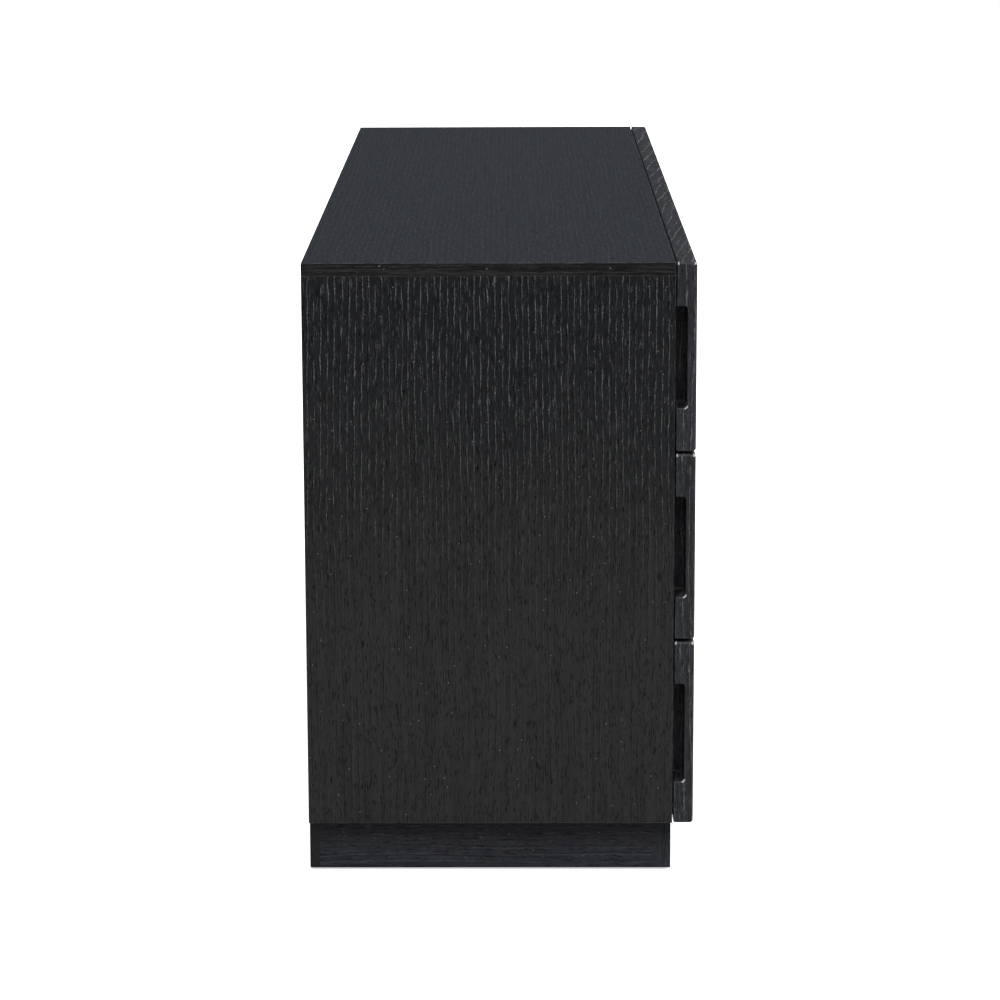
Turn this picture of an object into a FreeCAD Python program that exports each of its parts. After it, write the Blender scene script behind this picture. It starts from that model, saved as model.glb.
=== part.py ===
import FreeCAD, Part
import math
import os

# A wide, low dresser in black-stained ash. Two columns of three drawers run on full-extension
# ball-bearing runners. The case stands on a plinth that is set in at both ends. The flat drawer
# fronts overlay the case, and each has a finger pull milled into its outer end.
# Millimetres. +X runs along the length, the drawers open towards -Y, and +Z is up.
# The origin is on the floor, under the centre of the whole dresser.

# Overall sizes
overall_width = 1524.0
overall_height = 762.0
case_depth = 446.0

# Case boards
top_thickness = 16.0
panel_thickness = 19.0
shelf_thickness = 18.0
top_rail_depth = 80.0
drawer_rail_depth = 60.0
case_edge_radius = 1.5
seam_edge_radius = 0.8

# Back panels, housed in grooves in the side panels
back_thickness = 5.0
back_inset = 8.0
back_groove_depth = 6.0
back_edge_gap = 0.5
groove_clearance = 0.2

# Plinth
plinth_height = 67.0
plinth_end_inset = 20.0
plinth_front_inset = 1.0
plinth_thickness = 16.0
plinth_rear_thickness = 12.0
plinth_edge_radius = 1.0
block_width = 40.0
block_top_gap = 14.0
glide_height = 3.0
glide_radius = 12.5
glide_edge_radius = 1.0

# Drawer fronts
front_thickness = 24.0
front_gap = 1.5
row_gap = 3.0
column_gap = 3.0
front_edge_radius = 4.0
front_rear_edge_radius = 2.5
pull_height = 124.0
pull_depth = 13.0
pull_reach = 40.0
pull_corner_radius = 4.5
pull_mouth_bevel = 1.4

# Drawer boxes
box_wall = 12.0
box_clearance = 8.0
box_rear_clearance = 33.0
box_edge_radius = 1.5
bottom_thickness = 6.0
bottom_lift = 10.0
bottom_groove_depth = 6.0
bottom_edge_gap = 0.5

# Three-part ball-bearing runners
runner_space = 12.7
runner_height = 45.0
runner_gauge = 1.2
runner_setback = 3.0
runner_rear_clearance = 30.0
runner_lift = 60.0
ball_gap = 3.3
web_gap = 1.0
lip_gap = 1.7
member_stagger = 5.0

# Fasteners and small fittings
dowel_radius = 4.0
dowel_length = 30.0
dowel_web = 3.0
dowel_edge = 15.0
dowel_cover = 8.0
cam_radius = 7.5
cam_height = 12.5
cam_setback = 24.0
cam_edge = 50.0
cam_bolt_radius = 3.5
cam_bolt_cover = 8.0
screw_head_radius = 4.0
screw_head_height = 2.0
screw_radius = 1.75
screw_length = 18.0
screw_edge = 40.0
screw_stagger = 20.0
divider_screw_count = 3
bore_clearance = 0.05
plate_width = 70.0
plate_height = 16.0
plate_gauge = 2.0
plate_hole_radius = 2.6
plate_screw_pitch = 54.0
plate_from_end = 200.0
bumper_radius = 3.0
bumper_thickness = 1.2
bumper_edge = 20.0

# Edges and places count as the same within this distance.
match_tolerance = 0.0001

# Each column is mirrored: the sign gives the side of the centre line that it is on.
columns = {"left": -1, "right": 1}
rows = {"bottom": 0, "middle": 1, "top": 2}
railed_rows = ("bottom", "middle")

# Places worked out from the sizes above
overall_depth = case_depth + front_gap + front_thickness
half_width = overall_width / 2
face_y = -overall_depth / 2
front_back_y = face_y + front_thickness
case_front_y = front_back_y + front_gap
rear_y = overall_depth / 2
back_outer_y = rear_y - back_inset
back_inner_y = back_outer_y - back_thickness
case_bottom_z = plinth_height
floor_z = case_bottom_z + shelf_thickness
under_top_z = overall_height - top_thickness
under_rail_z = under_top_z - shelf_thickness
inner_x = half_width - panel_thickness
divider_x = panel_thickness / 2
plinth_x = half_width - plinth_end_inset
plinth_front_y = case_front_y + plinth_front_inset
front_height = (overall_height - case_bottom_z - (len(rows) - 1) * row_gap) / len(rows)
front_inner_x = column_gap / 2
box_rise = shelf_thickness + box_clearance
box_height = front_height - box_rise - top_thickness - shelf_thickness - box_clearance
box_rear_y = back_inner_y - box_rear_clearance
runner_front_y = case_front_y + runner_setback
runner_length = back_inner_y - runner_rear_clearance - runner_front_y


def save(name, *solids):
    """Write one named node, made of one solid or of several like ones."""
    shape = solids[0] if len(solids) == 1 else Part.makeCompound(list(solids))
    shape.exportStep("parts/" + name + ".step")


def block(x0, x1, y0, y1, z0, z1):
    """A box between two corners, whichever way round each pair is given."""
    low = FreeCAD.Vector(min(x0, x1), min(y0, y1), min(z0, z1))
    return Part.makeBox(abs(x1 - x0), abs(y1 - y0), abs(z1 - z0), low)


def rod(radius, x, y, z, length, direction):
    """A cylinder that starts at a point and runs along a direction."""
    return Part.makeCylinder(radius, length, FreeCAD.Vector(x, y, z), FreeCAD.Vector(*direction))


def edges_where(shape, test):
    """The edges of a shape whose middle point and direction there pass a test."""
    chosen = []
    for edge in shape.Edges:
        if edge.Degenerated:
            continue
        halfway = (edge.FirstParameter + edge.LastParameter) / 2
        if test(edge.valueAt(halfway), edge.tangentAt(halfway)):
            chosen.append(edge)
    return chosen


def near(a, b):
    return abs(a - b) < match_tolerance


def front_bottom_z(row):
    return case_bottom_z + rows[row] * (front_height + row_gap)


def box_bottom_z(row):
    return front_bottom_z(row) + box_rise


def runner_z(row):
    return box_bottom_z(row) + runner_lift


def dowel(x, y, z, direction, radius=dowel_radius):
    return rod(radius, x, y, z, dowel_length, direction)


# Where the fasteners go. Boards are bored in the same places.


def rail_dowel_places():
    """Start point and direction of each dowel in the ends of the drawer rails."""
    depth_in_panel = (panel_thickness - dowel_web) / 2
    places = []
    for sign in columns.values():
        for row in railed_rows:
            z = front_bottom_z(row) + front_height + row_gap / 2
            for y in (case_front_y + dowel_edge, case_front_y + drawer_rail_depth - dowel_edge):
                places.append((sign * (inner_x + depth_in_panel), y, z, (-sign, 0, 0)))
                places.append((sign * (divider_x - depth_in_panel), y, z, (sign, 0, 0)))
    return places


def divider_dowel_places():
    """Start point and direction of each dowel in the foot and the head of the divider."""
    depth_in_shelf = shelf_thickness - dowel_cover
    middle_y = (case_front_y + back_inner_y) / 2
    places = []
    for y in (case_front_y + cam_edge, middle_y, back_inner_y - cam_edge):
        places.append((0, y, floor_z - depth_in_shelf, (0, 0, 1)))
    for y in (case_front_y + top_rail_depth / 2, back_inner_y - top_rail_depth / 2):
        places.append((0, y, under_rail_z + depth_in_shelf, (0, 0, -1)))
    return places


def cam_places():
    """Side, depth place and underside height of each cam lock."""
    middle_y = (case_front_y + back_inner_y) / 2
    places = []
    for sign in columns.values():
        for y in (case_front_y + cam_edge, middle_y, back_inner_y - cam_edge):
            places.append((sign, y, case_bottom_z))
        for y in (case_front_y + top_rail_depth / 2, back_inner_y - top_rail_depth / 2):
            places.append((sign, y, under_rail_z))
    return places


def back_screw_places():
    """Places of the screws that hold the back panels to the bottom, the rail and the divider."""
    low_z = case_bottom_z + shelf_thickness / 2
    high_z = under_top_z - shelf_thickness / 2
    near_divider_x = divider_x / 2
    places = []
    for sign in columns.values():
        for x in (inner_x - screw_edge, (inner_x + divider_x) / 2, divider_x + screw_edge):
            places.append((sign * x, low_z))
            places.append((sign * x, high_z))
        for step in range(divider_screw_count):
            share = (step + 1) / (divider_screw_count + 1)
            z = floor_z + share * (under_rail_z - floor_z) + sign * screw_stagger / 2
            places.append((sign * near_divider_x, z))
    return places


def plate_places():
    """Centre of each anti-tip plate."""
    high_z = under_top_z - shelf_thickness / 2
    return [(sign * (half_width - plate_from_end), high_z) for sign in columns.values()]


def plate_screw_places():
    return [(x + side * plate_screw_pitch / 2, z) for x, z in plate_places() for side in (-1, 1)]


def bore_dowels(shape):
    for x, y, z, direction in rail_dowel_places() + divider_dowel_places():
        shape = shape.cut(dowel(x, y, z, direction, dowel_radius + bore_clearance))
    return shape


def bore_cams(shape):
    for sign, y, z in cam_places():
        x = sign * (inner_x - cam_setback)
        shape = shape.cut(rod(cam_radius + bore_clearance, x, y, z, cam_height, (0, 0, 1)))
        shape = shape.cut(cam_bolt(sign, y, z, bore_clearance))
    return shape


def bore_back_screws(shape):
    for x, z in back_screw_places():
        shape = shape.cut(screw_shank(x, back_outer_y, z, bore_clearance))
    for x, z in plate_screw_places():
        shape = shape.cut(screw_shank(x, back_outer_y + plate_gauge, z, bore_clearance))
    return shape


def screw_shank(x, head_y, z, clearance=0.0):
    return rod(screw_radius + clearance, x, head_y, z, screw_length, (0, -1, 0))


def cam_bolt(sign, y, z, clearance=0.0):
    """The steel bolt that runs from the side panel to the edge of the cam."""
    depth_in_panel = panel_thickness - cam_bolt_cover
    length = depth_in_panel + cam_setback - cam_radius - groove_clearance
    start_x = sign * (inner_x + depth_in_panel)
    middle_z = z + shelf_thickness / 2
    return rod(cam_bolt_radius + clearance, start_x, y, middle_z, length, (-sign, 0, 0))


# Case


def top_panel():
    """One board over the whole case, with eased edges."""
    board = block(-half_width, half_width, case_front_y, rear_y, under_top_z, overall_height)
    upper = edges_where(board, lambda p, d: not near(p.z, under_top_z))
    board = board.makeFillet(case_edge_radius, upper)
    lower = edges_where(board, lambda p, d: near(p.z, under_top_z))
    board = board.makeFillet(seam_edge_radius, lower)
    save("top_panel", board)


def side_panel(column):
    """An upright end of the case, with the groove that houses the back panel."""
    sign = columns[column]
    outer_x = sign * half_width
    board = block(outer_x, sign * inner_x, case_front_y, rear_y, case_bottom_z, under_top_z)
    lower = edges_where(board, lambda p, d: near(p.x, outer_x) and not near(p.z, under_top_z))
    board = board.makeFillet(case_edge_radius, lower)
    upper = edges_where(board, lambda p, d: near(p.x, outer_x) and near(p.z, under_top_z))
    board = board.makeFillet(seam_edge_radius, upper)
    groove_x = sign * (inner_x + back_groove_depth)
    groove_rear_y = back_outer_y + groove_clearance
    groove = block(groove_x, 0, back_inner_y, groove_rear_y, case_bottom_z, under_top_z)
    board = bore_cams(bore_dowels(board.cut(groove)))
    save("side_panel_" + column, board)


def centre_divider():
    """The upright between the two columns of drawers."""
    board = block(-divider_x, divider_x, case_front_y, back_inner_y, floor_z, under_rail_z)
    save("centre_divider", bore_back_screws(bore_dowels(board)))


def bottom_panel():
    """The floor of the case, between the side panels."""
    board = block(-inner_x, inner_x, case_front_y, back_inner_y, case_bottom_z, floor_z)
    save("bottom_panel", bore_back_screws(bore_cams(bore_dowels(board))))


def top_rails():
    """The two full-length rails that the top is fixed to."""
    front_end_y = case_front_y + top_rail_depth
    front = block(-inner_x, inner_x, case_front_y, front_end_y, under_rail_z, under_top_z)
    rear_start_y = back_inner_y - top_rail_depth
    rear = block(-inner_x, inner_x, rear_start_y, back_inner_y, under_rail_z, under_top_z)
    save("top_rail_front", bore_cams(bore_dowels(front)))
    rear = bore_back_screws(bore_cams(bore_dowels(rear)))
    save("top_rail_rear", bore_plate_holes(rear, screw_radius))


def drawer_rails():
    """The four short rails behind the gaps between the rows of fronts."""
    rails = []
    for sign in columns.values():
        for row in railed_rows:
            middle_z = front_bottom_z(row) + front_height + row_gap / 2
            low_z = middle_z - shelf_thickness / 2
            rear_end_y = case_front_y + drawer_rail_depth
            rail = block(
                sign * inner_x, sign * divider_x, case_front_y, rear_end_y,
                low_z, low_z + shelf_thickness,
            )
            rails.append(bore_dowels(rail))
    save("drawer_rails", *rails)


def bore_plate_holes(shape, radius):
    for x, z in plate_places():
        shape = shape.cut(rod(radius, x, back_outer_y, z, screw_length, (0, -1, 0)))
    return shape


def back_panel(column):
    """A thin back panel, slid into the side panel's groove and screwed along its other edges."""
    sign = columns[column]
    outer_x = sign * (inner_x + back_groove_depth - back_edge_gap)
    top_z = under_top_z - back_edge_gap
    panel = block(outer_x, sign * back_edge_gap, back_inner_y, back_outer_y, case_bottom_z, top_z)
    save("back_panel_" + column, bore_plate_holes(bore_back_screws(panel), plate_hole_radius))


# Plinth


def plinth_boards():
    """Front and rear boards that cover the ends of the side boards, and a brace between them."""
    ends_front_y = plinth_front_y + plinth_thickness
    ends_inner_x = plinth_x - plinth_thickness
    rear_front_y = rear_y - plinth_rear_thickness

    def board(name, *corners):
        shape = block(*corners, glide_height, plinth_height)
        lowest = edges_where(shape, lambda p, d: near(p.z, glide_height))
        save(name, shape.makeFillet(plinth_edge_radius, lowest))

    board("plinth_front", -plinth_x, plinth_x, plinth_front_y, ends_front_y)
    board("plinth_left", -plinth_x, -ends_inner_x, ends_front_y, rear_front_y)
    board("plinth_right", plinth_x, ends_inner_x, ends_front_y, rear_front_y)
    board("plinth_rear", -plinth_x, plinth_x, rear_front_y, rear_y)
    board("plinth_brace", -plinth_thickness / 2, plinth_thickness / 2, ends_front_y, rear_front_y)


def glue_block_places():
    """Centres of the blocks in the plinth's corners and beside its brace."""
    corner_x = plinth_x - plinth_thickness - block_width / 2
    brace_x = plinth_thickness / 2 + block_width / 2
    low_y = plinth_front_y + plinth_thickness + block_width / 2
    high_y = rear_y - plinth_rear_thickness - block_width / 2
    return [(x, y) for x in (-corner_x, -brace_x, brace_x, corner_x) for y in (low_y, high_y)]


def glue_blocks():
    half = block_width / 2
    top_z = plinth_height - block_top_gap
    blocks = [
        block(x - half, x + half, y - half, y + half, glide_height, top_z)
        for x, y in glue_block_places()
    ]
    save("glue_blocks", *blocks)


def floor_glides():
    """A plastic glide under each block. These are what the dresser stands on."""
    glides = []
    for x, y in glue_block_places():
        glide = rod(glide_radius, x, y, 0, glide_height, (0, 0, 1))
        rim = [edge for edge in glide.Edges if near(edge.BoundBox.ZMax, 0)]
        glides.append(glide.makeFillet(glide_edge_radius, rim))
    save("floor_glides", *glides)


# Fasteners and small fittings of the case


def dowels():
    places = rail_dowel_places() + divider_dowel_places()
    save("dowels", *[dowel(*place) for place in places])


def cams():
    """A round cam lock in the underside of each board, and the bolt that it draws in."""
    locks = []
    for sign, y, z in cam_places():
        locks.append(rod(cam_radius, sign * (inner_x - cam_setback), y, z, cam_height, (0, 0, 1)))
    save("cam_locks", *locks)
    save("cam_bolts", *[cam_bolt(*place) for place in cam_places()])


def back_screws():
    """Pan-head screws through the back panels, and the same ones through the anti-tip plates."""
    heads = [(x, back_outer_y, z) for x, z in back_screw_places()]
    heads += [(x, back_outer_y + plate_gauge, z) for x, z in plate_screw_places()]
    screws = []
    for x, y, z in heads:
        head = rod(screw_head_radius, x, y, z, screw_head_height, (0, 1, 0))
        screws.append(head.fuse(screw_shank(x, y, z)).removeSplitter())
    save("back_screws", *screws)


def anti_tip_plates():
    """Steel plates in the recess of the back. The middle hole takes the wall strap's screw."""
    plates = []
    for x, z in plate_places():
        plate = block(
            x - plate_width / 2, x + plate_width / 2, back_outer_y, back_outer_y + plate_gauge,
            z - plate_height / 2, z + plate_height / 2,
        )
        plate = plate.cut(rod(plate_hole_radius, x, back_outer_y, z, plate_gauge, (0, 1, 0)))
        for side in (-1, 1):
            screw_x = x + side * plate_screw_pitch / 2
            hole_radius = screw_radius + bore_clearance
            plate = plate.cut(rod(hole_radius, screw_x, back_outer_y, z, plate_gauge, (0, 1, 0)))
        plates.append(plate)
    save("anti_tip_plates", *plates)


def bumpers():
    """Soft round pads on the front edges of the case, which the closed fronts almost touch."""
    pads = []
    for sign in columns.values():
        for row in rows:
            low_z = front_bottom_z(row) + bumper_edge
            high_z = front_bottom_z(row) + front_height - bumper_edge
            for x in (half_width - panel_thickness / 2, (front_inner_x + divider_x) / 2):
                for z in (low_z, high_z):
                    start = (sign * x, case_front_y, z)
                    pads.append(rod(bumper_radius, *start, bumper_thickness, (0, -1, 0)))
    save("bumpers", *pads)


# Runners. Each member is a channel: a web that stands upright with a flange along each edge.
# The middle member is shorter at both ends, where its stops are, and the drawer member is
# shorter again at its rear end.


def channel(web_x, lip_x, half_height, front_y, length, middle_z):
    """A rolled steel channel whose web is at web_x and whose flanges end at lip_x."""
    inward = 1 if lip_x > web_x else -1
    inner_half = half_height - runner_gauge
    low_z = middle_z - half_height
    outer = block(web_x, lip_x, front_y, front_y + length, low_z, middle_z + half_height)
    hollow = block(
        web_x + inward * runner_gauge, lip_x, front_y, front_y + length,
        middle_z - inner_half, middle_z + inner_half,
    )
    return outer.cut(hollow)


def runner_pair(column, row, member):
    """One kind of member on both sides of a drawer, the same way round as a mirrored pair."""
    sign = columns[column]
    case_half = runner_height / 2
    middle_half = case_half - runner_gauge - ball_gap
    drawer_half = middle_half - runner_gauge - ball_gap
    middle_start = runner_front_y + member_stagger
    middle_length = runner_length - member_stagger - member_stagger
    drawer_length = middle_length - member_stagger
    middle_web = runner_gauge + web_gap
    drawer_lip = middle_web + runner_gauge + web_gap
    middle_lip = runner_space - lip_gap
    case_lip = middle_lip - lip_gap

    # From the wall: web, lip, then half height, front end and length.
    web, lip, half_height, start_y, length = {
        "case": (0, case_lip, case_half, runner_front_y, runner_length),
        "middle": (middle_web, middle_lip, middle_half, middle_start, middle_length),
        "drawer": (runner_space, drawer_lip, drawer_half, runner_front_y, drawer_length),
    }[member]
    return [
        channel(
            wall_x + inward * web, wall_x + inward * lip,
            half_height, start_y, length, runner_z(row),
        )
        for wall_x, inward in ((sign * inner_x, -sign), (sign * divider_x, sign))
    ]


# Drawers


def drawer_front(column, row):
    """A thick board that overlays the case, with a finger pull open to its end and its back."""
    sign = columns[column]
    low_z = front_bottom_z(row)
    board = block(
        sign * half_width, sign * front_inner_x, face_y, front_back_y,
        low_z, low_z + front_height,
    )

    def is_rear(p, d):
        return near(p.y, front_back_y)

    def is_fore(p, d):
        return not is_rear(p, d)

    board = board.makeFillet(front_edge_radius, edges_where(board, is_fore))
    board = board.makeFillet(front_rear_edge_radius, edges_where(board, is_rear))
    board = board.cut(pull_pocket(sign, low_z + front_height / 2))
    board = board.cut(pull_bevel(sign, low_z + front_height / 2))
    save("_".join((column, row, "front")), board)


def pull_pocket(sign, middle_z):
    """The milled hollow of a finger pull, round where the cutter turned."""
    pocket = block(
        sign * (half_width + pull_reach), sign * (half_width - pull_reach),
        front_back_y - pull_depth, front_back_y + pull_depth,
        middle_z - pull_height / 2, middle_z + pull_height / 2,
    )
    inner_end_x = sign * (half_width - pull_reach)
    lip_y = front_back_y - pull_depth

    def is_round(p, d):
        at_lip = near(p.y, lip_y) and not near(p.x, sign * (half_width + pull_reach))
        return at_lip or (near(p.x, inner_end_x) and near(abs(d.y), 1))

    return pocket.makeFillet(pull_corner_radius, edges_where(pocket, is_round))


def pull_bevel(sign, middle_z):
    """The small bevel that takes the sharp edge off the pull's mouth in the end of the front.

    The cutter starts one bevel inside the end and stops one bevel outside it, at 45 degrees.
    """
    grown = 2 * pull_mouth_bevel
    lip_y = front_back_y - pull_depth
    mouth_x = sign * half_width

    def outline(x, grow):
        radius = pull_corner_radius + grow
        low_z = middle_z - pull_height / 2 - grow
        high_z = middle_z + pull_height / 2 + grow
        near_y = lip_y - grow
        back_y = front_back_y + pull_depth
        turn = radius * (1 - math.sqrt(0.5))
        points = [
            FreeCAD.Vector(x, back_y, low_z),
            FreeCAD.Vector(x, near_y + radius, low_z),
            FreeCAD.Vector(x, near_y + turn, low_z + turn),
            FreeCAD.Vector(x, near_y, low_z + radius),
            FreeCAD.Vector(x, near_y, high_z - radius),
            FreeCAD.Vector(x, near_y + turn, high_z - turn),
            FreeCAD.Vector(x, near_y + radius, high_z),
            FreeCAD.Vector(x, back_y, high_z),
        ]
        edges = [
            Part.LineSegment(points[0], points[1]).toShape(),
            Part.Arc(points[1], points[2], points[3]).toShape(),
            Part.LineSegment(points[3], points[4]).toShape(),
            Part.Arc(points[4], points[5], points[6]).toShape(),
            Part.LineSegment(points[6], points[7]).toShape(),
            Part.LineSegment(points[7], points[0]).toShape(),
        ]
        return Part.Wire(edges)

    inner = outline(mouth_x - sign * pull_mouth_bevel, 0.0)
    outer = outline(mouth_x + sign * pull_mouth_bevel, grown)
    return Part.makeLoft([inner, outer], True, True)


def drawer_box(column, row):
    """Two sides, two ends and a bottom that is housed in a groove around all four."""
    sign = columns[column]
    low_z = box_bottom_z(row)
    high_z = low_z + box_height
    outer_x = inner_x - runner_space
    near_x = divider_x + runner_space
    groove_low_z = low_z + bottom_lift
    groove = block(
        sign * (outer_x - box_wall + bottom_groove_depth),
        sign * (near_x + box_wall - bottom_groove_depth),
        front_back_y + box_wall - bottom_groove_depth,
        box_rear_y - box_wall + bottom_groove_depth,
        groove_low_z, groove_low_z + bottom_thickness + groove_clearance,
    )

    sides = []
    for x0, x1 in ((outer_x, outer_x - box_wall), (near_x, near_x + box_wall)):
        board = block(sign * x0, sign * x1, front_back_y, box_rear_y, low_z, high_z)
        upper = edges_where(board, lambda p, d: near(p.z, high_z) and near(abs(d.y), 1))
        sides.append(board.makeFillet(box_edge_radius, upper).cut(groove))
    save("_".join((column, row, "box_sides")), *sides)

    ends = []
    for y0, y1 in ((front_back_y, front_back_y + box_wall), (box_rear_y - box_wall, box_rear_y)):
        board = block(sign * (outer_x - box_wall), sign * (near_x + box_wall), y0, y1, low_z, high_z)
        upper = edges_where(board, lambda p, d: near(p.z, high_z) and near(abs(d.x), 1))
        ends.append(board.makeFillet(box_edge_radius, upper).cut(groove))
    save("_".join((column, row, "box_ends")), *ends)

    bottom = block(
        sign * (outer_x - box_wall + bottom_groove_depth - bottom_edge_gap),
        sign * (near_x + box_wall - bottom_groove_depth + bottom_edge_gap),
        front_back_y + box_wall - bottom_groove_depth + bottom_edge_gap,
        box_rear_y - box_wall + bottom_groove_depth - bottom_edge_gap,
        groove_low_z, groove_low_z + bottom_thickness,
    )
    save("_".join((column, row, "box_bottom")), bottom)


os.makedirs("parts", exist_ok=True)

top_panel()
centre_divider()
bottom_panel()
top_rails()
drawer_rails()
plinth_boards()
glue_blocks()
floor_glides()
dowels()
cams()
back_screws()
anti_tip_plates()
bumpers()

case_members = []
for column in columns:
    side_panel(column)
    back_panel(column)
    for row in rows:
        drawer_front(column, row)
        drawer_box(column, row)
        case_members += runner_pair(column, row, "case")
        save("_".join((column, row, "runner_middle")), *runner_pair(column, row, "middle"))
        save("_".join((column, row, "runner_inner")), *runner_pair(column, row, "drawer"))
save("runner_case_members", *case_members)
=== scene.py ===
import math

import bmesh
import bpy
from mathutils import Euler, Matrix, Vector


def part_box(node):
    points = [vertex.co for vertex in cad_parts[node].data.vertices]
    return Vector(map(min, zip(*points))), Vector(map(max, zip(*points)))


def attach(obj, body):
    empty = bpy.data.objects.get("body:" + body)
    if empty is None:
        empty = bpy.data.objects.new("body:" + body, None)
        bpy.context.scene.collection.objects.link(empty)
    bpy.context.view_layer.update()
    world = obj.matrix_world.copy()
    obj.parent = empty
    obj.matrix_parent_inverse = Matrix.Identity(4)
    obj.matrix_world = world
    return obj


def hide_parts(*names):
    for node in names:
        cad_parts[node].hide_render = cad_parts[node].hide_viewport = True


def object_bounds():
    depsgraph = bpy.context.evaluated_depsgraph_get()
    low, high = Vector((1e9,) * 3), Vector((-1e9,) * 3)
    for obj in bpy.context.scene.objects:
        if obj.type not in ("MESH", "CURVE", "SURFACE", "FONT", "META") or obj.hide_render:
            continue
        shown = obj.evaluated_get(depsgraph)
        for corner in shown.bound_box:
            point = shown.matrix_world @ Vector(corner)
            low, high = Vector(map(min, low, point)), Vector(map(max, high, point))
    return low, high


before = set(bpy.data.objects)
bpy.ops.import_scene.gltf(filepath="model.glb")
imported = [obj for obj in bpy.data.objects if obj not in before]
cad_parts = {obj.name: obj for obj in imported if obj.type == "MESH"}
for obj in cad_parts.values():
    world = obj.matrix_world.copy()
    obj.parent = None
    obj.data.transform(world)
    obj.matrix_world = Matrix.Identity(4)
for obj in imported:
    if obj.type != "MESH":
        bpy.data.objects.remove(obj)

cad_low, cad_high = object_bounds()

# ---------------------------------------------------------------------------------------------
# Studio. A pale floor under a soft, high key light, and a long lens that looks at the left end
# of the dresser from above. The background is white to the lens and dimmer to the dresser,
# as it is on a set where only the backdrop is lit hard.

camera_place = Vector((-4.528, -0.018, 1.322))
camera_tilt = math.radians(10.91)
camera_turn = math.radians(0.753)
camera_roll = math.radians(-0.272)
camera_data = bpy.data.cameras.new("studio_camera")
camera_data.sensor_width = 36.0
camera_data.lens = 115.46
camera_data.shift_x = 0.027
camera_data.shift_y = -0.10
camera_data.clip_end = 60.0
camera = bpy.data.objects.new("studio_camera", camera_data)
bpy.context.scene.collection.objects.link(camera)
aim = Vector((
    math.cos(camera_tilt) * math.cos(camera_turn),
    math.cos(camera_tilt) * math.sin(camera_turn),
    -math.sin(camera_tilt),
))
camera.location = camera_place
camera.rotation_mode = "QUATERNION"
rolled = Euler((0, 0, camera_roll)).to_quaternion()
camera.rotation_quaternion = aim.to_track_quat("-Z", "Y") @ rolled
bpy.context.scene.camera = camera
bpy.context.scene.view_settings.view_transform = "Standard"


def put(tree, kind, inputs=None, **settings):
    """Add a shader or geometry node, set it up, and fill its inputs with values or links."""
    made = tree.nodes.new(kind)
    for name, value in settings.items():
        setattr(made, name, value)
    for name, value in (inputs or {}).items():
        if isinstance(value, bpy.types.NodeSocket):
            tree.links.new(value, made.inputs[name])
        else:
            made.inputs[name].default_value = value
    return made


def math_node(tree, operation, first, second=0.0, third=0.0):
    made = put(tree, "ShaderNodeMath", {0: first, 1: second, 2: third}, operation=operation)
    return made.outputs[0]


def spread(tree, value, low, high, to_low=0.0, to_high=1.0):
    """Map one range of a value smoothly onto another, and hold it at both ends."""
    made = put(
        tree, "ShaderNodeMapRange",
        {"Value": value, "From Min": low, "From Max": high, "To Min": to_low, "To Max": to_high},
        interpolation_type="SMOOTHSTEP",
    )
    return made.outputs["Result"]


def blend_colour(tree, factor, first, second):
    made = put(tree, "ShaderNodeMix", {0: factor, 6: first, 7: second}, data_type="RGBA")
    return made.outputs[2]


world = bpy.data.worlds.new("studio")
bpy.context.scene.world = world
world.use_nodes = True
sky = world.node_tree
sky.nodes.clear()
horizon_colour = (0.031, 0.037, 0.050, 1)
overhead_colour = (0.50, 0.53, 0.58, 1)
overhead_from = 0.75
sky_way = put(sky, "ShaderNodeTexCoord").outputs["Generated"]
sky_way = put(sky, "ShaderNodeSeparateXYZ", {0: sky_way})
sky_height = spread(sky, sky_way.outputs["Z"], 0.0, overhead_from)
sky_dim = blend_colour(sky, sky_height, horizon_colour, overhead_colour)
sky_seen = put(sky, "ShaderNodeLightPath").outputs["Is Camera Ray"]
sky_colour = blend_colour(sky, sky_seen, sky_dim, (1, 1, 1, 1))
sky_shader = put(sky, "ShaderNodeBackground", {"Color": sky_colour})
put(sky, "ShaderNodeOutputWorld", {"Surface": sky_shader.outputs[0]})

floor_mesh = bpy.data.meshes.new("studio_floor")
floor_reach = 14.0
floor_glow_strength = 0.62
floor_mesh.from_pydata(
    [(x * floor_reach, y * floor_reach, 0.0) for x, y in ((-1, -1), (1, -1), (1, 1), (-1, 1))],
    [], [(0, 1, 2, 3)],
)
floor = bpy.data.objects.new("studio_floor", floor_mesh)
bpy.context.scene.collection.objects.link(floor)


def new_finish(name):
    """A material, with its tree and its shader."""
    material = bpy.data.materials.new(name)
    material.use_nodes = True
    return material, material.node_tree, material.node_tree.nodes["Principled BSDF"]


floor_paint, floor_tree, floor_shader = new_finish("pale_floor")
floor_shader.inputs["Base Color"].default_value = (0.9, 0.9, 0.9, 1)
floor_shader.inputs["Roughness"].default_value = 0.9
floor_shader.inputs["Specular IOR Level"].default_value = 0.1
floor_seen = put(floor_tree, "ShaderNodeLightPath").outputs["Is Camera Ray"]
floor_lift = math_node(floor_tree, "MULTIPLY", floor_seen, floor_glow_strength)
floor_glow = put(
    floor_tree, "ShaderNodeEmission", {"Color": (1, 1, 1, 1), "Strength": floor_lift},
).outputs[0]
floor_sum = put(
    floor_tree, "ShaderNodeAddShader", {0: floor_shader.outputs[0], 1: floor_glow},
).outputs[0]
floor_tree.links.new(floor_sum, floor_tree.nodes["Material Output"].inputs["Surface"])
floor_mesh.materials.append(floor_paint)

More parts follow.
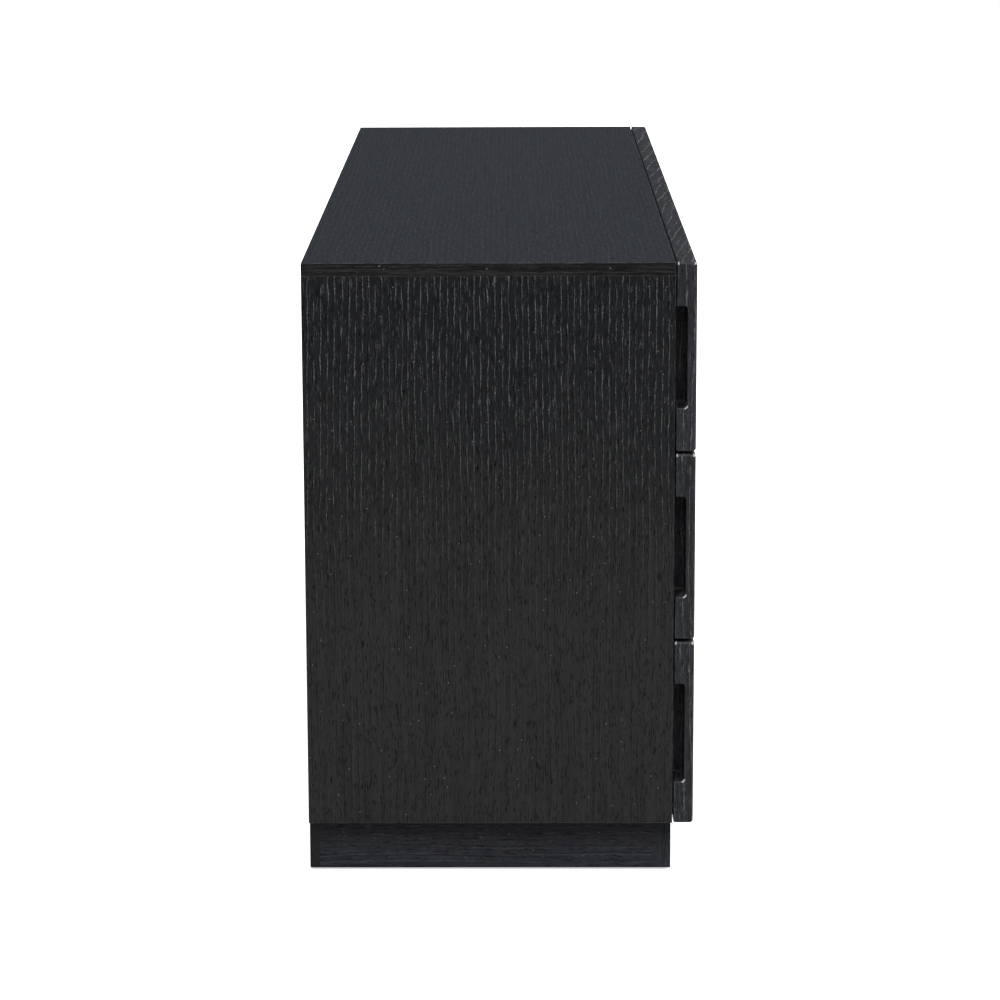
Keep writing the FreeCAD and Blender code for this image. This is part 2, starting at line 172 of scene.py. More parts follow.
for light_name, light_way, light_strength, light_spread in (
    ("key_light", (0.35, 0.30, -0.95), 2.5, 70),
    ("end_light", (0.62, -0.20, -0.76), 1.3, 40),
    ("fill_light", (-0.60, 0.65, -0.45), 0.8, 40),
):
    lamp = bpy.data.lights.new(light_name, "SUN")
    lamp.energy = light_strength
    lamp.angle = math.radians(light_spread)
    light = bpy.data.objects.new(light_name, lamp)
    light.rotation_mode = "QUATERNION"
    light.rotation_quaternion = Vector(light_way).to_track_quat("-Z", "Y")
    bpy.context.scene.collection.objects.link(light)


# ---------------------------------------------------------------------------------------------
# The plinth. Three boards of black-stained ash, butted together and set back under the case.
# The wood is brushed, so its pores stay open under a thin stain and a satin lacquer, and their
# upper half is painted darker, a painted shadow of the overhanging case. The same ash is on
# every other board that shows.


def new_group(name, inputs, outputs):
    """A shader node group with the named inputs, and with its output node to be filled."""
    group = bpy.data.node_groups.new(name, "ShaderNodeTree")
    for socket_name, kind, value in inputs:
        socket = group.interface.new_socket(socket_name, in_out="INPUT", socket_type=kind)
        if value is not None:
            socket.default_value = value
    for socket_name, kind in outputs:
        group.interface.new_socket(socket_name, in_out="OUTPUT", socket_type=kind)
    return group


def scaled(tree, place, factors):
    made = put(tree, "ShaderNodeVectorMath", {0: place, 1: factors}, operation="MULTIPLY")
    return made.outputs[0]


def noise(tree, place, scale, detail):
    made = put(tree, "ShaderNodeTexNoise", {"Vector": place, "Scale": scale, "Detail": detail})
    return made.outputs[0]


def stretched_noise(tree, place, along, across, detail, seed):
    """Noise drawn out along the grain. Its two sizes are in waves to the millimetre."""
    drawn = scaled(tree, place, (along, across, across))
    return put(
        tree, "ShaderNodeTexNoise",
        {"Vector": drawn, "W": seed, "Scale": 1.0, "Detail": detail, "Roughness": 0.55},
        noise_dimensions="4D",
    ).outputs[0]


def build_ash_grain():
    """Open-pore grain that runs along the first axis of the place it is given, in metres."""
    number = "NodeSocketFloat"
    group = new_group(
        "open_pore_grain",
        [
            ("Place", "NodeSocketVector", None), ("Ring Spacing", number, 6.0),
            ("Drift", number, 8.0), ("Speck Density", number, 1.4), ("Seed", number, 0.0),
        ],
        [("Streaks", number), ("Rings", number), ("Pores And Shadow Lines", number), ("Fibre", number),
         ("Figure", number), ("Specks", number), ("Height", number)],
    )
    given = group.nodes.new("NodeGroupInput")
    millimetres = (1000, 1000, 1000)
    place = scaled(group, given.outputs["Place"], millimetres)
    seed = given.outputs["Seed"]

    def sway(along, across, detail, reach):
        """Millimetres to one side or the other, for lines that wander."""
        side = stretched_noise(group, place, along, across, detail, seed)
        return math_node(group, "MULTIPLY", math_node(group, "SUBTRACT", side, 0.5), reach)

    waver_reach = 5.0
    shiver_reach = 1.6
    lean = 0.35
    axes = put(group, "ShaderNodeSeparateXYZ", {0: place})
    drift = sway(0.0035, 0.012, 1.0, given.outputs["Drift"])
    waver = sway(0.03, 0.08, 2.0, waver_reach)
    shiver = sway(0.12, 0.2, 1.0, shiver_reach)
    wander = math_node(group, "ADD", drift, math_node(group, "ADD", waver, shiver))
    across = math_node(group, "ADD", axes.outputs["Y"], wander)
    across = math_node(
        group, "ADD", across, math_node(group, "MULTIPLY", axes.outputs["Z"], lean),
    )
    bent = put(
        group, "ShaderNodeCombineXYZ", {0: axes.outputs["X"], 1: across, 2: axes.outputs["Z"]},
    ).outputs[0]

    # A ring's crest is broken into dashes, with a dark line beside it: a painted shadow of the
    # groove's side, also sunk in the relief. Loose dashes lie between the rings, and grit breaks
    # both up.
    ring_crest = (0.82, 1.0)
    shadow_line_crest = (0.70, 1.0)
    shadow_line_phase = 1.15
    dashed = (0.40, 0.58)
    loosened = (0.57, 0.69)
    loose_strength = 0.6
    gritted = (0.38, 0.60)
    grit_least = 0.16
    turn = math_node(group, "MULTIPLY", across, math.tau)
    turn = math_node(group, "DIVIDE", turn, given.outputs["Ring Spacing"])
    ring = spread(group, math_node(group, "SINE", turn), *ring_crest)
    dash = spread(group, stretched_noise(group, bent, 0.045, 0.34, 3.0, seed), *dashed)
    on_ring = math_node(group, "MULTIPLY", ring, dash)
    beside = math_node(group, "SINE", math_node(group, "SUBTRACT", turn, shadow_line_phase))
    shadow_line = math_node(group, "MULTIPLY", spread(group, beside, *shadow_line_crest), dash)
    loose = spread(group, stretched_noise(group, bent, 0.07, 0.85, 2.0, seed), *loosened)
    loose = math_node(group, "MULTIPLY", loose, loose_strength)
    grit = stretched_noise(group, bent, 0.34, 0.9, 2.0, seed)
    grit = spread(group, grit, *gritted, grit_least, 1.0)
    streaks = math_node(group, "MULTIPLY", math_node(group, "MAXIMUM", on_ring, loose), grit)

    opened = (0.56, 0.65)
    shadow_line_strength = 0.6
    pores = spread(group, stretched_noise(group, bent, 0.11, 0.72, 2.0, seed), *opened)
    shadow_line = math_node(group, "MULTIPLY", shadow_line, shadow_line_strength)
    # The painted shadow lines join the pores, so they take the pores' dark colour and depth.
    pores = math_node(group, "MAXIMUM", pores, shadow_line)
    fibre = stretched_noise(group, bent, 0.045, 1.3, 3.0, seed)
    figure = stretched_noise(group, bent, 0.005, 0.22, 3.0, seed)

    speck_cell = (0.045, 0.07, 0.07)
    speck_outside = 0.075
    speck_inside = 0.03
    bare_cells = 0.55
    spots = put(group, "ShaderNodeTexVoronoi", {
        "Vector": scaled(group, place, speck_cell), "Scale": given.outputs["Speck Density"],
    })
    spot = spread(group, spots.outputs["Distance"], speck_outside, speck_inside)
    chance = put(group, "ShaderNodeSeparateColor", {0: spots.outputs["Color"]}).outputs[0]
    chance = math_node(group, "GREATER_THAN", chance, bare_cells)
    specks = math_node(group, "MULTIPLY", spot, chance)

    fibre_rise = 0.5
    streak_depth = 0.55
    pore_depth = 0.8
    height = math_node(group, "MULTIPLY", fibre, fibre_rise)
    height = math_node(group, "MULTIPLY_ADD", streaks, -streak_depth, height)
    height = math_node(group, "MULTIPLY_ADD", pores, -pore_depth, height)
    put(group, "NodeGroupOutput", {
        "Streaks": streaks, "Rings": ring, "Pores And Shadow Lines": pores, "Fibre": fibre, "Figure": figure,
        "Specks": specks, "Height": height,
    })
    return group


ash_grain = build_ash_grain()


def build_eased_edge():
    """Masks for a board's rounded edges, pale partly from wear and partly as a painted highlight,
    and for its outer upper corners, which take a painted highlight.
    """
    number = "NodeSocketFloat"
    group = new_group(
        "eased_edge", [("Patch Scale", number, 70.0), ("Outer End", number, 0.0)],
        [("Edge", number), ("Corner Highlight", number)],
    )
    given = group.nodes.new("NodeGroupInput")
    place = put(group, "ShaderNodeTexCoord").outputs
    facing = put(group, "ShaderNodeVectorMath", {0: place["Normal"]}, operation="ABSOLUTE")
    axes = put(group, "ShaderNodeSeparateXYZ", {0: facing.outputs[0]}).outputs
    flat = math_node(group, "MAXIMUM", axes["X"], axes["Y"])
    flat = math_node(group, "MAXIMUM", flat, axes["Z"])
    patched = (0.35, 0.62)
    patch_least = 0.2
    patches = noise(group, place["Object"], given.outputs["Patch Scale"], 4.0)
    patches = spread(group, patches, *patched, patch_least, 1.0)
    still_flat = 0.99
    fully_round = 0.82
    edge = math_node(group, "MULTIPLY", spread(group, flat, still_flat, fully_round), patches)

    # Painted highlight: the outer corners that face up, towards the light from above, are painted
    # pale.
    corner_start = 0.06
    corner_full = 0.30
    least = math_node(group, "MINIMUM", axes["X"], axes["Y"])
    least = math_node(group, "MINIMUM", least, axes["Z"])
    facing_up_to_light = put(group, "ShaderNodeSeparateXYZ", {0: place["Normal"]}).outputs["Z"]
    facing_up_to_light = spread(group, facing_up_to_light, 0.0, corner_full)
    corner = spread(group, least, corner_start, corner_full)
    corner = math_node(group, "MULTIPLY", corner, facing_up_to_light)
    along = put(group, "ShaderNodeSeparateXYZ", {0: place["Object"]}).outputs["X"]
    along = math_node(group, "ABSOLUTE", along)
    outer = math_node(group, "GREATER_THAN", along, given.outputs["Outer End"])
    corner = math_node(group, "MULTIPLY", corner, outer)
    put(group, "NodeGroupOutput", {"Edge": edge, "Corner Highlight": corner})
    return group


eased_edge = build_eased_edge()


def facing_along(tree, axis):
    """1 on the faces that look along one axis of the object, either way, and 0 elsewhere."""
    mostly = 0.7
    normal = put(tree, "ShaderNodeTexCoord").outputs["Normal"]
    along = put(tree, "ShaderNodeSeparateXYZ", {0: normal}).outputs[axis]
    return math_node(tree, "GREATER_THAN", math_node(tree, "ABSOLUTE", along), mostly)


def object_axes(tree):
    """The three object coordinates, by their letters."""
    place = put(tree, "ShaderNodeTexCoord").outputs["Object"]
    return put(tree, "ShaderNodeSeparateXYZ", {0: place}).outputs


def joined(tree, values):
    made = put(tree, "ShaderNodeCombineXYZ", dict(enumerate(values)))
    return made.outputs[0]


def ordered_place(tree, order):
    """Object coordinates in another order, such as ZYX for a board whose grain runs up."""
    axes = object_axes(tree)
    return joined(tree, [axes[axis] for axis in order])


def grain_place(tree, order, end_order=None, rings=None):
    """The place in a board with its grain's axis first, so that every face shows lines of grain.

    The second axis is the one that the lines are counted along. On the faces that look along
    it, the third axis takes its turn, and the ends of a board may have an order of their own.
    """
    place = rings
    if place is None:
        along, across, through = order
        place = put(tree, "ShaderNodeMix", {
            0: facing_along(tree, across), 4: ordered_place(tree, order),
            5: ordered_place(tree, (along, through, across)),
        }, data_type="VECTOR").outputs[1]
    if end_order is None:
        return place
    return put(tree, "ShaderNodeMix", {
        0: facing_along(tree, "X"), 4: place, 5: ordered_place(tree, end_order),
    }, data_type="VECTOR").outputs[1]


def ring_distance(tree, pith_depth, pith_height, pith_slope):
    """Place in a plank: along it, out from the tree's sloping pith, and up, in metres."""
    axes = object_axes(tree)
    deep = math_node(tree, "MULTIPLY_ADD", axes["X"], pith_slope, axes["Y"])
    deep = math_node(tree, "SUBTRACT", deep, pith_depth)
    high = math_node(tree, "SUBTRACT", axes["Z"], pith_height)
    square = math_node(tree, "MULTIPLY", high, high)
    out = math_node(tree, "SQRT", math_node(tree, "MULTIPLY_ADD", deep, deep, square))
    return joined(tree, (axes["X"], out, axes["Z"]))


def masked(tree, colour, mask, part, over):
    """Lay another colour over, as far as a share of the mask says."""
    return blend_colour(tree, math_node(tree, "MULTIPLY", mask, part), colour, over)


def feed_shader(tree, shader, colour, roughness, height, strength, distance):
    """Link the colour, the roughness and a relief that varies over the surface."""
    relief = put(
        tree, "ShaderNodeBump", {"Height": height, "Strength": strength, "Distance": distance},
    )
    tree.links.new(colour, shader.inputs["Base Color"])
    tree.links.new(roughness, shader.inputs["Roughness"])
    tree.links.new(relief.outputs[0], shader.inputs["Normal"])


# The dark of the open pores, which the painted shadow lines and the painted overhang shadow use
# too.
pore_and_shadow_black = (0.002, 0.002, 0.002, 1)
streak_grey = (0.112, 0.112, 0.111, 1)
speck_grey = (0.3, 0.3, 0.3, 1)
edge_wear_and_highlight_grey = (0.085, 0.088, 0.094, 1)
corner_highlight_pale = (0.62, 0.61, 0.58, 1)
board_end = cad_high.x - 0.005


def black_ash(
    name, order, end_order=None, *, streak, pore, seed, drift, spacing=6.0, specks=1.4,
    base=(0.0082, 0.0083, 0.0088), figured=1.0, painted_height_light=None, painted_overhang_shadow=None, end_tone=None,
    end_streak=1.0, edge_wear_and_highlight=0.35, corner=0.15, bump=0.35, rough=0.5, gloss=0.11, pith=None,
):
    """Black-stained ash with its grain along the first axis of order.

    Figured says how far the colour swings round its base. Painted height light is a painted
    reflection and shade that change up a tall board: it gives the two heights, the streaks that
    are left below, and the darker bluish colour painted above. A painted overhang shadow gives the
    heights that the painted shadow darkens between. The ends may have a tone of their own.
    """
    material, tree, shader = new_finish(name)
    place = grain_place(tree, order, end_order, ring_distance(tree, *pith) if pith else None)
    grain = put(tree, "ShaderNodeGroup", {
        "Place": place, "Ring Spacing": spacing, "Drift": drift, "Speck Density": specks,
        "Seed": seed,
    }, node_tree=ash_grain).outputs

    swings = (-0.45, 0.6)
    fibre_share = 0.45
    shaded = (0.34, 0.66)
    dark, pale = (
        tuple(part * (1 + swing * figured) for part in base) + (1,) for swing in swings
    )
    shade = math_node(tree, "MULTIPLY", grain["Fibre"], fibre_share)
    shade = math_node(tree, "MULTIPLY_ADD", grain["Figure"], 1 - fibre_share, shade)
    shade = spread(tree, shade, *shaded)
    colour = blend_colour(tree, shade, dark, pale)
    strength = streak
    # Painted reflection and shade by height: the streaks are painted stronger and the colour
    # darker and bluish towards the top, and the pores fainter below.
    if painted_height_light:
        low, high, least, painted_upper_colour = painted_height_light
        wander_reach = 0.25
        darkest_painted_share = 0.85
        pores_below = 0.8
        along = put(tree, "ShaderNodeSeparateXYZ", {0: place}).outputs["X"]
        along = math_node(tree, "SUBTRACT", along, wander_reach / 2)
        wander = noise(tree, place, 5.0, 2.0)
        level = math_node(tree, "MULTIPLY_ADD", wander, wander_reach, along)
        strength = spread(tree, level, low, high, least * streak, streak)
        deep = spread(tree, level, low, high, 0.0, darkest_painted_share)
        colour = blend_colour(tree, deep, colour, painted_upper_colour)
        pore = spread(tree, level, low, high, pores_below * pore, pore)
    # Painted shadow of the overhanging case: the colour and the rings turn darker towards the top
    # of the board.
    if painted_overhang_shadow:
        low, high = painted_overhang_shadow
        wave_reach = 0.03
        shadow_most = 0.75
        level = math_node(tree, "SUBTRACT", object_axes(tree)["Z"], wave_reach / 2)
        level = math_node(tree, "MULTIPLY_ADD", grain["Figure"], wave_reach, level)
        shadow_share = spread(tree, level, low, high, 0.0, shadow_most)
        colour = blend_colour(tree, shadow_share, colour, dark)
        colour = masked(tree, colour, grain["Rings"], shadow_share, pore_and_shadow_black)
    if end_tone:
        end_swings = (0.1, 3.0)
        end_shaded = (0.2, 0.8)
        dark, pale = (tuple(part * swing for part in end_tone) + (1,) for swing in end_swings)
        end_colour = blend_colour(tree, spread(tree, shade, *end_shaded), dark, pale)
        colour = blend_colour(tree, facing_along(tree, "X"), colour, end_colour)
    if end_streak < 1:
        lost = (end_streak - 1) * streak
        strength = math_node(tree, "MULTIPLY_ADD", facing_along(tree, "X"), lost, streak)

    eased = put(
        tree, "ShaderNodeGroup", {"Outer End": board_end}, node_tree=eased_edge,
    ).outputs
    speck_cover = 0.65
    # Pores and the painted shadow lines take the dark, streaks and specks the pale; the rounded
    # edges are lightened partly as wear and partly as a painted highlight, and the outer upper
    # corners get a painted highlight.
    for mask, part, over in (
        (grain["Pores And Shadow Lines"], pore, pore_and_shadow_black),
        (grain["Streaks"], strength, streak_grey),
        (grain["Specks"], speck_cover, speck_grey),
        (eased["Edge"], edge_wear_and_highlight, edge_wear_and_highlight_grey),
        (eased["Corner Highlight"], corner, corner_highlight_pale),
    ):
        colour = masked(tree, colour, mask, part, over)

    dulled = (0.36, 0.64)
    polish = 0.08
    dullness = 0.10
    pore_roughness = 0.2
    grain_depth = 0.0006
    roughness = spread(tree, grain["Figure"], *dulled, rough - polish, rough + dullness)
    roughness = math_node(tree, "MULTIPLY_ADD", grain["Pores And Shadow Lines"], pore_roughness, roughness)
    feed_shader(tree, shader, colour, roughness, grain["Height"], bump, grain_depth)
    shader.inputs["Specular IOR Level"].default_value = gloss
    return material


def cover(material, *nodes):
    """Give CAD nodes their finish by putting a material in their only slot."""
    for node in nodes:
        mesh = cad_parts[node].data
        mesh.materials.clear()
        mesh.materials.append(material)


plinth_finish = {
    "streak": 0.24, "pore": 0.8, "drift": 16.0, "spacing": 9.0, "specks": 2.4, "gloss": 0.06,
    # The last pair of heights bounds the painted shadow under the overhanging case.
    "base": (0.0162, 0.0168, 0.0200), "painted_overhang_shadow": (0.020, 0.058),
}
cover(black_ash("black_ash_plinth", "XZY", "ZYX", seed=5.0, **plinth_finish), "plinth_front")
cover(
    black_ash("black_ash_plinth_ends", "YZX", seed=4.0, **plinth_finish),
    "plinth_left", "plinth_right",
)


# ---------------------------------------------------------------------------------------------
# Inside the plinth. A softwood brace and eight softwood blocks are glued in its corners, left
# as sawn, and a moulded nylon glide is pressed on under each block.


def build_worn_edge():
    """1 on a sharp or rounded edge, 0 on a flat face, broken up so that no edge is even."""
    number = "NodeSocketFloat"
    group = new_group("worn_edge", [("Width", number, 0.0015)], [("Edge", number)])
    given = group.nodes.new("NodeGroupInput")
    bevel = put(group, "ShaderNodeBevel", {"Radius": given.outputs["Width"]}, samples=4)
    plain = put(group, "ShaderNodeNewGeometry").outputs["Normal"]
    alike = put(
        group, "ShaderNodeVectorMath", {0: bevel.outputs[0], 1: plain}, operation="DOT_PRODUCT",
    ).outputs["Value"]
    still_flat = 0.998
    fully_edge = 0.90
    edge = spread(group, alike, still_flat, fully_edge)
    place = put(group, "ShaderNodeTexCoord").outputs["Object"]
    patched = (0.35, 0.6)
    patch_least = 0.25
    patches = spread(group, noise(group, place, 90.0, 3.0), *patched, patch_least, 1.0)
    put(group, "NodeGroupOutput", {"Edge": math_node(group, "MULTIPLY", edge, patches)})
    return group


worn_edge = build_worn_edge()


def plain_wood(name, order, dark, pale, pore_colour, *, seed, spacing, rough, gloss):
    """A pale wood, only sanded or lacquered, with its grain along the first axis of order."""
    material, tree, shader = new_finish(name)
    grain = put(tree, "ShaderNodeGroup", {
        "Place": grain_place(tree, order), "Ring Spacing": spacing, "Drift": 22.0, "Seed": seed,
    }, node_tree=ash_grain).outputs
    edge = put(tree, "ShaderNodeGroup", node_tree=worn_edge).outputs["Edge"]
    ring_cover = 0.5
    pore_cover = 0.45
    edge_cover = 0.35
    colour = blend_colour(tree, spread(tree, grain["Fibre"], 0.3, 0.7), dark, pale)
    colour = masked(tree, colour, grain["Rings"], ring_cover, dark)
    colour = masked(tree, colour, grain["Pores And Shadow Lines"], pore_cover, pore_colour)
    colour = masked(tree, colour, edge, edge_cover, pale)
    polish = 0.06
    dullness = 0.1
    grain_strength = 0.2
    grain_depth = 0.0003
    roughness = spread(tree, grain["Fibre"], 0.2, 0.8, rough - polish, rough + dullness)
    feed_shader(tree, shader, colour, roughness, grain["Height"], grain_strength, grain_depth)
    shader.inputs["Specular IOR Level"].default_value = gloss
    return material


def build_handling_marks():
    """Slow patches, fine grain and short scratches, as on a pressed or moulded surface."""
    number = "NodeSocketFloat"
    group = new_group(
        "handling_marks", [("Patch Scale", number, 30.0), ("Grain Scale", number, 900.0)],
        [("Patches", number), ("Grain", number), ("Scratches", number)],
    )
    given = group.nodes.new("NodeGroupInput")
    place = put(group, "ShaderNodeTexCoord").outputs["Object"]
    scratch_scale = (900.0, 40.0, 900.0)
    patched = (0.35, 0.65)
    scratched = (0.58, 0.72)
    patches = noise(group, place, given.outputs["Patch Scale"], 3.0)
    scratches = noise(group, scaled(group, place, scratch_scale), 1.0, 2.0)
    put(group, "NodeGroupOutput", {
        "Patches": spread(group, patches, *patched),
        "Grain": noise(group, place, given.outputs["Grain Scale"], 2.0),
        "Scratches": spread(group, scratches, *scratched),
    })
    return group


handling_marks = build_handling_marks()


def worked(
    name, dark, pale, *, rough, bump, metallic=0.0, mark=0.15, patch_scale=30.0,
    grain_scale=900.0, edge_colour=None,
):
    """A metal, plastic or rubber surface with patches, fine grain, scratches and rubbed edges."""
    material, tree, shader = new_finish(name)
    marks = put(
        tree, "ShaderNodeGroup", {"Patch Scale": patch_scale, "Grain Scale": grain_scale},
        node_tree=handling_marks,
    ).outputs
    edge = put(tree, "ShaderNodeGroup", node_tree=worn_edge).outputs["Edge"]
    edge_cover = 0.5
    colour = blend_colour(tree, marks["Patches"], dark, pale)
    colour = masked(tree, colour, marks["Scratches"], mark, pale)
    colour = masked(tree, colour, edge, edge_cover, edge_colour or pale)
    patch_roughness = 0.12
    scratch_polish = 0.04
    grain_depth = 0.0002
    roughness = math_node(
        tree, "MULTIPLY_ADD", marks["Patches"], patch_roughness, rough - patch_roughness / 2,
    )
    roughness = math_node(tree, "MULTIPLY_ADD", marks["Scratches"], -scratch_polish, roughness)
    feed_shader(tree, shader, colour, roughness, marks["Grain"], bump, grain_depth)
    shader.inputs["Metallic"].default_value = metallic
    return material


cover(
    plain_wood(
        "plain_softwood", "ZXY", (0.47, 0.31, 0.16, 1), (0.67, 0.49, 0.29, 1),
        (0.36, 0.22, 0.10, 1), seed=11.0, spacing=4.0, rough=0.7, gloss=0.2,
    ),
    "plinth_brace", "glue_blocks",
)
cover(
    worked(
        "glide_nylon", (0.030, 0.030, 0.031, 1), (0.055, 0.055, 0.056, 1), rough=0.42, bump=0.2,
    ),
    "floor_glides",
)


# ---------------------------------------------------------------------------------------------
# The case inside. The floor, the divider, the rails and the rear plinth board are black-stained
# case board, cut square and drawn together by steel bolts in zinc cams, with beech dowels.

case_board = {"streak": 0.12, "pore": 0.45, "drift": 12.0, "rough": 0.6}
cover(
    black_ash("black_case_board", "XYZ", seed=6.0, **case_board),
    "bottom_panel", "top_rail_front", "top_rail_rear", "drawer_rails", "plinth_rear",
)
cover(black_ash("black_case_divider", "ZYX", seed=7.0, **case_board), "centre_divider")
cover(
    plain_wood(
        "beech_dowel", "XYZ", (0.52, 0.35, 0.20, 1), (0.68, 0.50, 0.32, 1),
        (0.40, 0.24, 0.12, 1), seed=12.0, spacing=3.0, rough=0.6, gloss=0.2,
    ),
    "dowels",
)
cover(
    worked(
        "cast_zinc", (0.40, 0.41, 0.42, 1), (0.58, 0.59, 0.60, 1), metallic=1.0, rough=0.46,
        bump=0.5, patch_scale=120.0, grain_scale=1500.0,
    ),
    "cam_locks",
)
plated_steel = worked(
    "plated_steel", (0.55, 0.56, 0.57, 1), (0.63, 0.64, 0.65, 1), metallic=1.0, rough=0.32,
    bump=0.15, mark=0.3, patch_scale=60.0,
)
cover(plated_steel, "cam_bolts")


# ---------------------------------------------------------------------------------------------
# The two upright ends, veneered with the grain from floor to top. The pale broken lines are
# painted stronger above, where the colour is painted darker and bluish: painted highlight,
# shade and reflection of the light from above. Further down they fade into a greyer tone.

cover(
    black_ash(
        "black_ash_sides", "ZYX", streak=0.82, pore=1.0, seed=1.0, drift=14.0, spacing=8.0,
        base=(0.0162, 0.0161, 0.0162), figured=0.4, specks=1.9, gloss=0.045,
        # Painted reflection and shade by height: the two heights, the streaks left below, and the
        # darker bluish colour painted above.
        painted_height_light=(0.26, 0.72, 0.10, (0.0062, 0.0067, 0.0074, 1)),
    ),
    "side_panel_left", "side_panel_right",
)


# ---------------------------------------------------------------------------------------------
# The top. One board laid over the case, with its grain from end to end and almost closed by a
# satin lacquer, and with its two ends banded in the same wood, across the case.

cover(
    black_ash(
        "black_ash_top", "XYZ", "YZX", streak=0.30, pore=0.7, seed=2.0, drift=11.0, spacing=7.0,
        # The bluish tint of this base is a painted reflection of the sky over the top.
        base=(0.0074, 0.0090, 0.0116), rough=0.46, bump=0.8,
        end_tone=(0.0052, 0.0046, 0.0045), end_streak=0.5,
    ),
    "top_panel",
)


# ---------------------------------------------------------------------------------------------
# The back. Two painted hardboard panels stand in grooves and are held by black steel screws
# with a cross recess. Two plated plates are screwed on for the straps that go to a wall.


def black_hardboard():
    """Pressed fibre under black paint: a fine pebbled face with faint roller bands."""
    material, tree, shader = new_finish("black_hardboard")
    place = put(tree, "ShaderNodeTexCoord").outputs["Object"]
    band_scale = (6.0, 6.0, 90.0)
    fibre = noise(tree, place, 420.0, 4.0)
    bands = noise(tree, scaled(tree, place, band_scale), 1.0, 2.0)
    fibre_share = 0.5
    shaded = (0.38, 0.62)
    shade = math_node(tree, "MULTIPLY", fibre, fibre_share)
    shade = math_node(tree, "MULTIPLY_ADD", bands, 1 - fibre_share, shade)
    paint_dark = (0.010, 0.010, 0.011, 1)
    paint_pale = (0.022, 0.022, 0.023, 1)
    bare_fleck = (0.06, 0.056, 0.05, 1)
    flecked = (0.68, 0.76)
    fleck_cover = 0.5
    colour = blend_colour(tree, spread(tree, shade, *shaded), paint_dark, paint_pale)
    flecks = spread(tree, fibre, *flecked, 0.0, fleck_cover)
    colour = blend_colour(tree, flecks, colour, bare_fleck)
    smooth_paint = 0.52
    rough_paint = 0.68
    pebble_strength = 0.4
    pebble_depth = 0.0003
    roughness = spread(tree, bands, 0.3, 0.7, smooth_paint, rough_paint)
    feed_shader(tree, shader, colour, roughness, fibre, pebble_strength, pebble_depth)
    shader.inputs["Specular IOR Level"].default_value = 0.25
    return material


cover(black_hardboard(), "back_panel_left", "back_panel_right")
cover(plated_steel, "anti_tip_plates")


def tree_for(name, inputs):
    """A geometry tree that takes marked points, with named inputs, and puts out geometry."""
    tree = bpy.data.node_groups.new(name, "GeometryNodeTree")
    tree.interface.new_socket("Geometry", in_out="INPUT", socket_type="NodeSocketGeometry")
    tree.interface.new_socket("Geometry", in_out="OUTPUT", socket_type="NodeSocketGeometry")
    for socket_name, kind in inputs:
        tree.interface.new_socket(socket_name, in_out="INPUT", socket_type=kind)
    return tree, tree.nodes.new("NodeGroupInput")


def finish_tree(tree, given, shape):
    """Put the shape on each point, turned to its facing, realize it, and give it its material."""
    spin_seed = 7
    facing = put(tree, "GeometryNodeInputNamedAttribute", {0: "facing"}, data_type="FLOAT_VECTOR")
    aimed = put(tree, "FunctionNodeAlignRotationToVector", {"Vector": facing.outputs[0]}, axis="Z")
    spin = put(
        tree, "FunctionNodeRandomValue", {2: 0.0, 3: math.tau, "Seed": spin_seed},
        data_type="FLOAT",
    )
    spin = put(
        tree, "FunctionNodeAxisAngleToRotation", {"Axis": (0, 0, 1), "Angle": spin.outputs[1]},
    )
    turned = put(tree, "FunctionNodeRotateRotation", {
        "Rotation": aimed.outputs[0], "Rotate By": spin.outputs[0],
    }, rotation_space="LOCAL")
    laid = put(tree, "GeometryNodeInstanceOnPoints", {
        "Points": given.outputs["Geometry"], "Instance": shape, "Rotation": turned.outputs[0],
    })
    real = put(tree, "GeometryNodeRealizeInstances", {0: laid.outputs[0]})
    coated = put(tree, "GeometryNodeSetMaterial", {
        "Geometry": real.outputs[0], "Material": given.outputs["Material"],
    })
    put(tree, "NodeGroupOutput", {0: coated.outputs[0]})
    return tree


